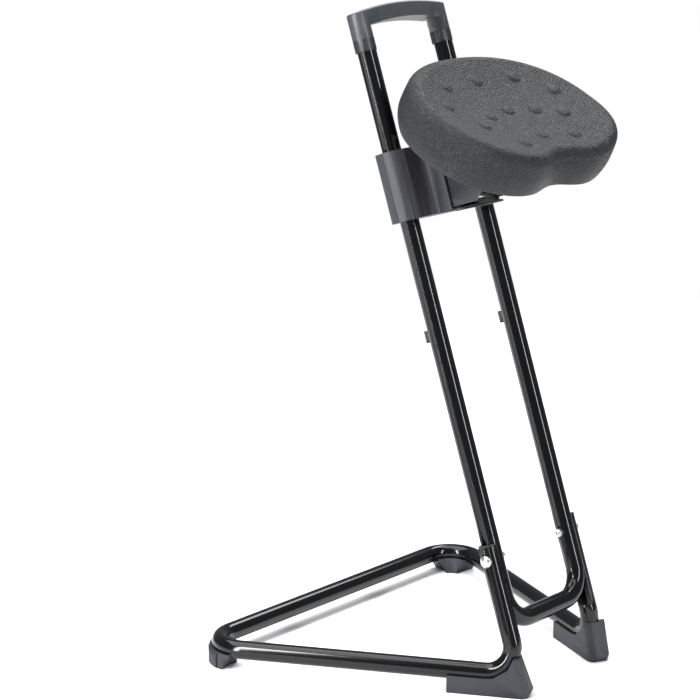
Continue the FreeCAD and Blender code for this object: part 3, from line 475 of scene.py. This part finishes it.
leather, tree, output, place = new_material("self_skinned_foam")
pebble = add_node(tree, "ShaderNodeTexVoronoi",
                  {"feature": "DISTANCE_TO_EDGE", "Scale": per_metre(3.2)}, [("Vector", place)])
pebble_height = add_node(tree, "ShaderNodeMapRange", {"From Max": 0.35},
                         [("Value", pebble.outputs["Distance"])])
crease = add_node(tree, "ShaderNodeTexNoise", {"Scale": per_metre(1.1), "Detail": 2.0},
                  [("Vector", place)])
skin_height = add_node(tree, "ShaderNodeMath", {"operation": "MULTIPLY_ADD"},
                       [(0, crease.outputs["Fac"]), (2, pebble_height.outputs["Result"])])
skin_height.inputs[1].default_value = 0.4
skin_bump = add_node(tree, "ShaderNodeBump", {"Strength": 1.0, "Distance": 0.0008},
                     [("Height", skin_height.outputs["Value"])])
skin_cloud = add_node(tree, "ShaderNodeTexNoise", {"Scale": per_metre(36), "Detail": 4.0},
                      [("Vector", place)])
skin_colour = add_node(tree, "ShaderNodeMix",
                       {"data_type": "RGBA", 6: linear("#0C0D0F"), 7: linear("#131416")},
                       [("Factor", skin_cloud.outputs["Fac"])])
skin_rough = add_node(tree, "ShaderNodeMapRange", {"To Min": 0.46, "To Max": 0.54},
                      [("Value", skin_cloud.outputs["Fac"])])
skin = add_node(tree, "ShaderNodeBsdfPrincipled", {"IOR": 1.41},
                [("Base Color", skin_colour.outputs[2]), ("Roughness", skin_rough.outputs["Result"]),
                 ("Normal", skin_bump.outputs["Normal"])])
tree.links.new(skin.outputs["BSDF"], output.inputs["Surface"])
seat.data.materials.append(leather)
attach(seat, "carriage")
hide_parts("seat_pad")

# Studio: a seamless pale floor that runs into a pale surround, lit by tall soft boxes at both sides,
# which draw the long narrow highlights down the tubes, and a broad one overhead.
deselect()
bpy.ops.mesh.primitive_circle_add(vertices=128, radius=2.3, fill_type="NGON", location=(0, 0, -0.0005))
floor = bpy.context.object
floor.name = "studio_floor"
paper, tree, output, place = new_material("floor_paper")
paper_grain = add_node(tree, "ShaderNodeTexNoise", {"Scale": per_metre(250)}, [("Vector", place)])
paper_rough = add_node(tree, "ShaderNodeMapRange", {"To Min": 0.85, "To Max": 0.95},
                       [("Value", paper_grain.outputs["Fac"])])
paper_face = add_node(tree, "ShaderNodeBsdfPrincipled", {"Base Color": linear("#FAFAFA")},
                      [("Roughness", paper_rough.outputs["Result"])])
tree.links.new(paper_face.outputs["BSDF"], output.inputs["Surface"])
floor.data.materials.append(paper)

surround = bpy.data.worlds.new("studio_surround")
surround.use_nodes = True
surround_tree = surround.node_tree
surround_tree.nodes.clear()
white_backdrop = add_node(surround_tree, "ShaderNodeBackground",
                          {"Color": linear("#FFFFFF"), "Strength": 1.0})
dim_room = add_node(surround_tree, "ShaderNodeBackground",
                    {"Color": linear("#F3F9FF"), "Strength": 0.3})
ray = surround_tree.nodes.new("ShaderNodeLightPath")
backdrop_or_room = surround_tree.nodes.new("ShaderNodeMixShader")
surround_tree.links.new(ray.outputs["Is Camera Ray"], backdrop_or_room.inputs[0])
surround_tree.links.new(dim_room.outputs[0], backdrop_or_room.inputs[1])
surround_tree.links.new(white_backdrop.outputs[0], backdrop_or_room.inputs[2])
surround_output = surround_tree.nodes.new("ShaderNodeOutputWorld")
surround_tree.links.new(backdrop_or_room.outputs[0], surround_output.inputs["Surface"])
bpy.context.scene.world = surround

# Each soft box: its name, place, the point it faces, width and height in metres, and watts.
soft_boxes = [
    ("box_left", (-2.5, 0.3, 1.3), (0, 0, 0.5), 0.42, 2.6, 120.0),
    ("box_front", (0.0, -2.8, 1.4), (0, 0, 0.5), 0.32, 2.6, 60.0),
    ("box_sheen", (1.9, 0.5, 2.5), (0, 0, 0.7), 1.0, 1.0, 30.0),
    ("box_top", (-0.2, 0.6, 3.0), (0, 0.2, 0.2), 3.2, 3.2, 125.0),
]
for name, place_at, aim_at, width, height, power in soft_boxes:
    deselect()
    bpy.ops.object.light_add(type="AREA", location=place_at)
    lamp = bpy.context.object
    lamp.name = name
    lamp.data.shape = "RECTANGLE"
    lamp.data.size = width
    lamp.data.size_y = height
    lamp.data.energy = power
    toward = Vector(aim_at) - Vector(place_at)
    lamp.rotation_euler = toward.to_track_quat("-Z", "Y").to_euler()

# Camera: the photograph's viewing angle, a long lens a little above the seat's height.
camera_place = (-2.3685, -1.8672, 1.1372)
looks_down = math.radians(13.827)
looks_right = math.radians(49.396)
bpy.ops.object.camera_add(location=camera_place, rotation=(math.pi / 2 - looks_down, 0, -looks_right))
camera = bpy.context.object
camera.name = "photo_camera"
camera.data.sensor_width = 36.0
camera.data.lens = 119.83
camera.data.shift_x = -0.0040
camera.data.shift_y = 0.0174
camera.data.clip_end = 100.0
bpy.context.scene.camera = camera
bpy.context.scene.view_settings.view_transform = "Standard"
